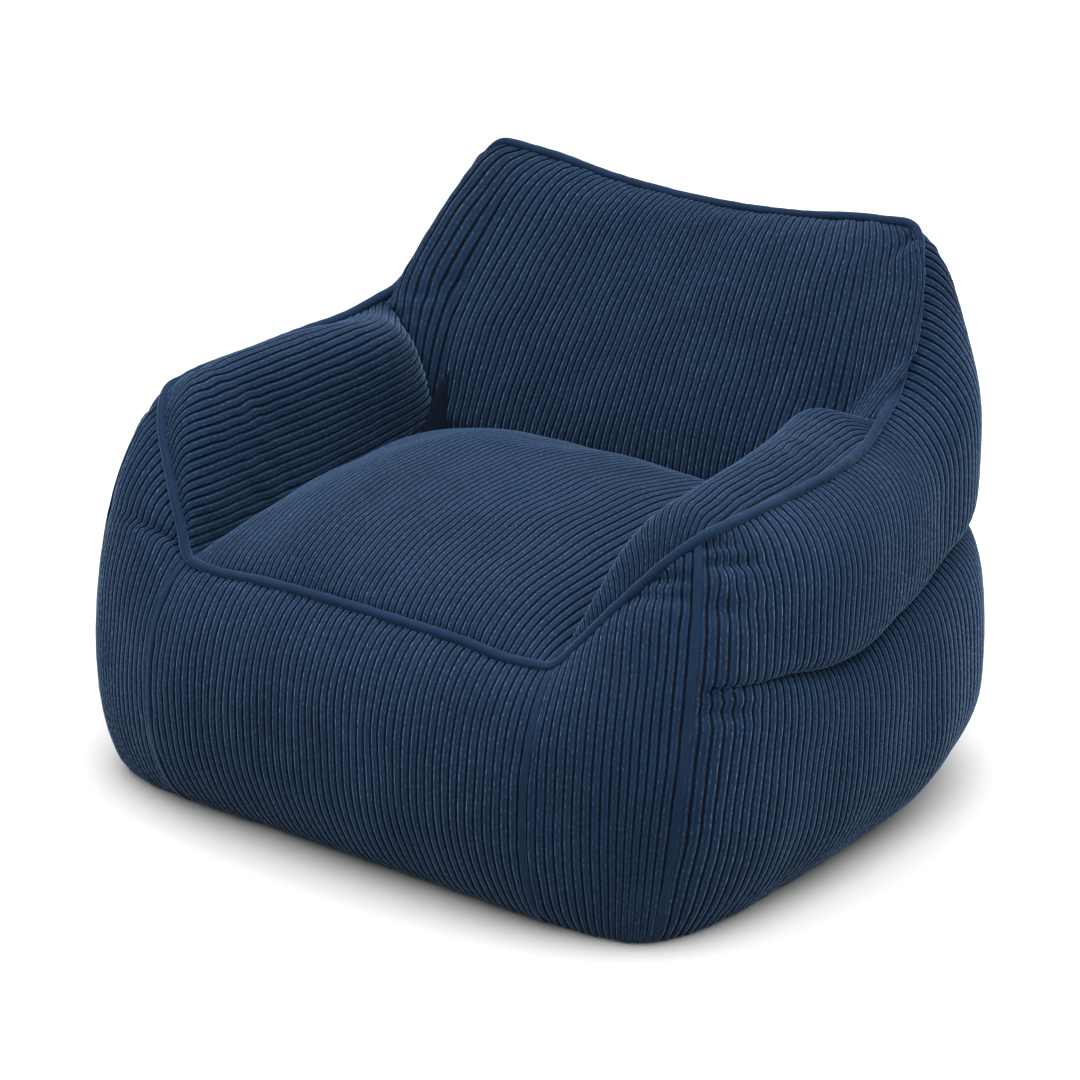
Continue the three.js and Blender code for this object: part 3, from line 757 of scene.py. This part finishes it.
def cloth_material(name, ribbed):
    """Cotton velvet: a short nap with sheen, uneven lie and, on the corduroy, painted shade in the
    grooves and a painted highlight on the rib flanks.
    """
    material, tree, shader = node_tree(name)
    shader.inputs["Roughness"].default_value = 0.88
    shader.inputs["Specular IOR Level"].default_value = 0.08
    shader.inputs["Sheen Weight"].default_value = 0.42
    shader.inputs["Sheen Roughness"].default_value = 0.26
    shader.inputs["Sheen Tint"].default_value = SHEEN_COLOUR
    place = add_node(tree, "ShaderNodeTexCoord").outputs["Object"]

    def noise(scale, detail=3.0):
        inputs = [("Vector", place), ("Scale", scale), ("Detail", detail), ("Roughness", 0.6)]
        return add_node(tree, "ShaderNodeTexNoise", inputs).outputs["Fac"]

    lie = ramp(tree, noise(LIE_SCALE), *LIE_LIMITS)
    fleck = ramp(tree, noise(FLECK_SCALE, 2.0), *FLECK_LIMITS)
    fibre = noise(FIBRE_SCALE, 2.0)
    colour = tinted(tree, PILE_COLOUR, lie, LIE_TINT, WORN_AND_HIGHLIGHT_COLOUR)
    colour = tinted(tree, colour, fleck, FLECK_TINT, WORN_AND_HIGHLIGHT_COLOUR)
    height = raised(tree, maths(tree, "MULTIPLY", fibre, FIBRE_BUMP), fleck, FLECK_BUMP)
    if ribbed:
        cloth = add_node(tree, "ShaderNodeUVMap", uv_map="cloth").outputs["UV"]
        split = add_node(tree, "ShaderNodeSeparateXYZ", [("Vector", cloth)])
        across = maths(tree, "FRACT", split.outputs["X"])
        off_crest = maths(tree, "ABSOLUTE", maths(tree, "SUBTRACT", across, 0.5))
        # Painted shade: the grooves are darkened in colour
        groove = ramp(tree, off_crest, *GROOVE_SHADE_LIMITS)
        upper_flank = ramp(tree, off_crest, *FLANK_HIGHLIGHT_UPPER)
        lower_flank = ramp(tree, off_crest, *FLANK_HIGHLIGHT_LOWER)
        # Painted highlight: a lighter band on both flanks of each rib, where the nubs also sit
        flank_highlight = maths(tree, "MULTIPLY", upper_flank, lower_flank)
        colour = tinted(tree, colour, flank_highlight, FLANK_HIGHLIGHT_TINT, WORN_AND_HIGHLIGHT_COLOUR)
        stretch = add_node(tree, "ShaderNodeMapping", [("Vector", cloth), ("Scale", NUB_SCALE)])
        nubs = add_node(tree, "ShaderNodeTexNoise", [
            ("Vector", stretch.outputs["Vector"]), ("Scale", 1.0), ("Detail", 2.0)])
        nub = maths(tree, "MULTIPLY", ramp(tree, nubs.outputs["Fac"], *NUB_LIMITS), flank_highlight)
        colour = tinted(tree, colour, nub, NUB_TINT, NUB_COLOUR)
        # Painted shade in the grooves
        colour = tinted(tree, colour, groove, GROOVE_SHADE_TINT, GROOVE_SHADE_COLOUR)
        height = raised(tree, height, nub, NUB_BUMP)
    else:
        inputs = [("Vector", place), ("Scale", TWILL_SCALE), ("Distortion", 1.5)]
        bands = add_node(tree, "ShaderNodeTexWave", inputs, bands_direction="DIAGONAL")
        twill = bands.outputs["Fac"]
        colour = tinted(tree, colour, twill, TWILL_TINT, WORN_AND_HIGHLIGHT_COLOUR)
        height = raised(tree, height, twill, TWILL_BUMP)
    bump = add_node(tree, "ShaderNodeBump", [
        ("Height", height), ("Strength", 0.55), ("Distance", 0.0006)])
    tree.links.new(colour, shader.inputs["Base Color"])
    tree.links.new(bump.outputs["Normal"], shader.inputs["Normal"])
    return material


corduroy_cloth = cloth_material("corduroy", ribbed=True)
plain_cloth = cloth_material("plain_trim", ribbed=False)


# Panels

def cosine_steps(count):
    """From 0 to 1, closer together at both ends."""
    even = np.linspace(0, 1, count + 1)
    return lerp(even, (1 - np.cos(np.pi * even)) / 2, CROWDING)


def upright_steps(count):
    """Steps up a rib that crowd at the base, at the fold and at the piping."""
    half = cosine_steps(count // 2) / 2
    return np.concatenate([half, 0.5 + half[1:]])


def upright(name, node, columns):
    """Upright panel; past the middle of the rear the places are those of the left half."""
    ups = upright_steps(UPRIGHT_ROWS)
    ribs = np.where(columns > REAR_MIDDLE, columns - 2 * REAR_MIDDLE, columns)
    points = outer_skin(ribs[:, None], ups[None, :])
    core = lerp(lower_core(ribs)[:, None], upper_core(ribs)[:, None], ups[None, :, None])
    skin = corduroy(name, points, columns, ups)
    obj = stuffed(name, skin, core, columns, corduroy_cloth)
    finish_piece(obj, node)


def seat_piece():
    columns = rib_columns(-SEAT_HALF, SEAT_HALF, RIB_PITCH["seat_cushion"])
    backs = cosine_steps(SEAT_ROWS)
    points = seat(columns[:, None], backs[None, :])
    rear = point(SEAT_CORE[0] * columns / SEAT_HALF, SEAT_CORE[1], SEAT_CORE[2])
    core = lerp(upper_core(columns)[:, None], rear[:, None], backs[None, :, None])
    skin = corduroy("seat_cushion", points, columns, backs)
    obj = stuffed("seat_cushion", skin, core, columns, corduroy_cloth)
    finish_piece(obj, "seat_panel")


def arm_grid(rows, fade, pitch):
    """Points of the right inner arm on lines at an even distance from the seat seam.

    A line starts where it leaves the piping, and the last ones end on it again.
    """
    overs = np.linspace(0, 1, OVER_MEASURES)
    fine = np.linspace(FRONT_SEAM, ARM_END, ARM_MEASURES)
    arcs = lengths_along(inner_arm(fine[:, None], overs[None, :], fade), 1) / RIB
    girth = arcs[:, -1]
    columns = rib_columns(0, girth.max(), pitch)
    first_half = int(np.argmax(girth))
    starts = np.interp(columns, girth[:first_half + 1], fine[:first_half + 1])
    places = np.linspace(0, 1, rows)
    ribs = lerp(starts[:, None], ARM_END, places[None, :])
    points = np.zeros((len(columns), rows, 3))
    for k, column in enumerate(columns):
        section = inner_arm(ribs[k][:, None], overs[None, :], fade)
        arc = lengths_along(section, 1) / RIB
        over = np.array([np.interp(column, row, overs) for row in arc])
        points[k] = inner_arm(ribs[k], over, fade)
    return points, columns, ribs, places


def arm_piece(side):
    name = f"arm_cushion_{side}"
    points, columns, ribs, places = arm_grid(ARM_ROWS, ARM_FADES[side], RIB_PITCH[name])
    low = np.array(SEAT_CORE, float)
    along = np.clip(arm_along(ribs), 0, 1)
    share = (columns / columns[-1])[:, None, None]
    core = lerp(lerp(upper_core(FRONT_SEAM), low, along), upper_core(ribs), share)
    skin = corduroy(name, points, columns, places)
    if side == "left":
        skin, core = mirror_x(skin)[::-1], mirror_x(core)[::-1]
        columns = columns[::-1]
    obj = stuffed(name, skin, core, columns, corduroy_cloth)
    finish_piece(obj, f"inner_arm_{side}")


def back_piece():
    columns = rib_columns(-BACK_HALF, BACK_HALF, RIB_PITCH["back_cushion"])
    ups = cosine_steps(BACK_ROWS)
    slanted = BACK_SLANT * (1 - np.abs(columns / BACK_HALF) ** SLANT_SQUARENESS)
    points = inner_back(columns[:, None] + slanted[:, None] * ups**SLANT_RISE, ups[None, :])
    low = SEAT_CORE[0] * np.clip(columns / BACK_FOOT_HALF, -1, 1)
    over = np.clip((np.abs(columns) - BACK_FOOT_HALF) / (BACK_HALF - BACK_FOOT_HALF), 0, 1)
    arm_core = upper_core(np.sign(columns) * ARM_END)
    foot = lerp(point(low, SEAT_CORE[1], SEAT_CORE[2]), arm_core, over[:, None])
    foot[:, 1] += CORE_BEHIND
    core = lerp(foot[:, None], upper_core(rear_rib(columns))[:, None], ups[None, :, None])
    skin = corduroy("back_cushion", points, columns, ups)
    obj = stuffed("back_cushion", skin, core, columns, corduroy_cloth)
    finish_piece(obj, "inner_back")


def upright_pieces():
    front = rib_columns(-FRONT_SEAM, FRONT_SEAM, RIB_PITCH["front_cushion"])
    corner = rib_columns(FRONT_SEAM, SIDE_SEAM, RIB_PITCH["corner_cushion_right"])
    side = rib_columns(SIDE_SEAM, REAR_SEAM, RIB_PITCH["side_cushion_right"])
    rear = rib_columns(REAR_SEAM, 2 * REAR_MIDDLE - REAR_SEAM, RIB_PITCH["outer_back_cushion"])
    upright("front_cushion", "front_panel", front)
    upright("corner_cushion_right", "corner_panel_right", corner)
    upright("corner_cushion_left", "corner_panel_left", -corner[::-1])
    upright("side_cushion_right", "side_panel_right", side)
    upright("side_cushion_left", "side_panel_left", -side[::-1])
    upright("outer_back_cushion", "outer_back", rear)


# Trim

def cord_piece():
    """Closed ring of cord with a slightly uneven radius."""
    ribs = np.linspace(-REAR_MIDDLE, REAR_MIDDLE, CORD_STEPS + 1)[:-1]
    centres, outs = piping(ribs), outward(ribs)
    ways = unit(np.roll(centres, -1, axis=0) - np.roll(centres, 1, axis=0))
    across = unit(np.cross(ways, outs))
    outs = np.cross(across, ways)
    turns = (np.arange(CORD_SIDES) * 2 * np.pi / CORD_SIDES)[None, :, None]
    section = np.cos(turns) * outs[:, None] + np.sin(turns) * across[:, None]
    wobble = 1 + CORD_UNEVEN * waves(centres, CORD_WAVE, SEEDS["piping_cord"])[:, None, None]
    rings = centres[:, None] + PIPING_RADIUS * wobble * section
    corner = np.arange(CORD_STEPS * CORD_SIDES).reshape(CORD_STEPS, CORD_SIDES)
    after = np.roll(corner, -1, axis=0)
    quads = np.stack([corner, np.roll(corner, -1, 1), np.roll(after, -1, 1), after], axis=-1)
    obj = add_mesh("piping_cord", rings.reshape(-1, 3), quads.reshape(-1, 4).tolist(), plain_cloth)
    finish_piece(obj, "piping")


def squared(share):
    """Pushes a sine or a cosine outwards, which turns a round section squarer."""
    return np.sign(share) * np.abs(share) ** WELT_SQUARENESS


def welt(name, node, rib):
    """Flat strip with rounded shoulders over an upright seam."""
    ups = np.linspace(*WELT_SPAN, WELT_STEPS)
    centre = outer_skin(rib, ups)
    way = unit(np.gradient(centre, axis=0))
    across = unit(outer_skin(rib + WELT_STEP_OUT, ups) - outer_skin(rib - WELT_STEP_OUT, ups))
    out = unit(np.cross(across, way))
    turns = np.linspace(0, 2 * np.pi, WELT_SIDES + 1)[:-1]
    widths = squared(np.cos(turns)) * WELT_WIDTH / 2
    heights = squared(np.sin(turns)) * WELT_HEIGHT / 2
    uneven = 1 + WELT_UNEVEN * waves(centre, WELT_WAVE, SEEDS[name])[:, None, None]
    rings = (centre + WELT_LIFT * out)[:, None] + widths[None, :, None] * across[:, None]
    rings = rings + uneven * heights[None, :, None] * out[:, None]
    count, sides = len(ups), len(turns)
    corner = np.arange(count * sides).reshape(count, sides)
    beside = np.roll(corner, -1, axis=1)
    quads = np.stack([corner[:-1], beside[:-1], beside[1:], corner[1:]], axis=-1)
    ends = [corner[0, ::-1].tolist(), corner[-1].tolist()]
    faces = quads.reshape(-1, 4).tolist() + ends
    obj = add_mesh(name, rings.reshape(-1, 3), faces, plain_cloth)
    finish_piece(obj, node)


def base_piece():
    """Plain underside, lifted a little at its seam, and a lid over its inner edge."""
    count = BASE_STEPS
    ribs = np.linspace(-REAR_MIDDLE, REAR_MIDDLE, count + 1)[:-1]
    ring = outer_skin(ribs, 0.0)
    centre = np.array([0, -BODY_SHIFT_Y, 0])
    rings = [centre + (ring - centre) * share for share in BASE_RINGS]
    rings[0][:, 2] += BASE_LIFT
    layers = [lower_core(ribs), *rings]
    vertices = np.concatenate([*layers, centre[None], centre[None] + [0, 0, LOWER_CORE[0][3]]])
    faces = []
    for k in range(len(layers) - 1):
        this, other = k * count, (k + 1) * count
        for c in range(count):
            following = (c + 1) % count
            faces.append((this + c, other + c, other + following, this + following))
    last = (len(layers) - 1) * count
    for c in range(count):
        following = (c + 1) % count
        faces.append((last + c, len(vertices) - 2, last + following))
        faces.append((c, following, len(vertices) - 1))
    obj = add_mesh("base_cloth", vertices, faces, plain_cloth)
    finish_piece(obj, "base_panel")


# Studio

FLOOR_HALF = 40.0           # metres
FLOOR_COLOUR = (0.42, 0.42, 0.42, 1)
SKY_AT_HORIZON = 0.2
SKY_OVERHEAD = 8.0
SKY_POWER = 3.0             # higher gathers the light closer to overhead
SUN_STRENGTH = 0.8
SUN_SPREAD = math.radians(60)
SUN_WAY = (-0.5, -0.1, -1.0)


def studio():
    floor = bpy.data.meshes.new("floor")
    size = FLOOR_HALF
    corners = [(-size, -size, 0), (size, -size, 0), (size, size, 0), (-size, size, 0)]
    floor.from_pydata(corners, [], [(0, 1, 2, 3)])
    obj = bpy.data.objects.new("floor", floor)
    bpy.context.scene.collection.objects.link(obj)
    material, tree, shader = node_tree("pale_floor")
    shader.inputs["Base Color"].default_value = FLOOR_COLOUR
    shader.inputs["Roughness"].default_value = 0.9
    shader.inputs["Specular IOR Level"].default_value = 0.1
    floor.materials.append(material)

    world = bpy.data.worlds.new("studio")
    bpy.context.scene.world = world
    world.use_nodes = True
    tree = world.node_tree
    sky = tree.nodes["Background"]
    sky.inputs["Color"].default_value = (1, 1, 1, 1)
    way = add_node(tree, "ShaderNodeTexCoord").outputs["Generated"]
    upward = add_node(tree, "ShaderNodeSeparateXYZ", [("Vector", way)]).outputs["Z"]
    overhead = maths(tree, "POWER", maths(tree, "MAXIMUM", upward, 0.0), SKY_POWER)
    strength = ramp(tree, overhead, 0.0, 1.0, SKY_AT_HORIZON, SKY_OVERHEAD)
    tree.links.new(strength, sky.inputs["Strength"])

    data = bpy.data.lights.new("soft_sun", "SUN")
    data.energy = SUN_STRENGTH
    data.angle = SUN_SPREAD
    light = bpy.data.objects.new("soft_sun", data)
    light.rotation_euler = Vector(SUN_WAY).to_track_quat("-Z", "Y").to_euler()
    bpy.context.scene.collection.objects.link(light)
    bpy.context.scene.view_settings.view_transform = "Standard"


# Camera as in the photograph: heading, drop and distance found from the seams
CAMERA_HEADING = math.radians(38)
CAMERA_DROP = math.radians(20.6)
CAMERA_PLACE = (2410, -2801, 1730)
CAMERA_LENS = 133.3


def camera():
    data = bpy.data.cameras.new("camera")
    data.lens = CAMERA_LENS
    data.sensor_width = 36
    data.dof.use_dof = False
    obj = bpy.data.objects.new("camera", data)
    ahead, aside = math.cos(CAMERA_HEADING), math.sin(CAMERA_HEADING)
    level, drop = math.cos(CAMERA_DROP), math.sin(CAMERA_DROP)
    back = Vector((aside * level, -ahead * level, drop))
    right = Vector((ahead, aside, 0))
    turn = Matrix((right, back.cross(right), back)).transposed()
    place = (Vector(CAMERA_PLACE) + Vector((0, BODY_SHIFT_Y, 0))) * MM
    obj.matrix_world = Matrix.Translation(place) @ turn.to_4x4()
    bpy.context.scene.collection.objects.link(obj)
    bpy.context.scene.camera = obj


camera()
studio()
upright_pieces()
seat_piece()
arm_piece("right")
arm_piece("left")
back_piece()
base_piece()
cord_piece()
welt("front_welt_strip_right", "front_welt_right", FRONT_SEAM)
welt("front_welt_strip_left", "front_welt_left", -FRONT_SEAM)
welt("side_welt_strip_right", "side_welt_right", SIDE_SEAM)
welt("side_welt_strip_left", "side_welt_left", -SIDE_SEAM)
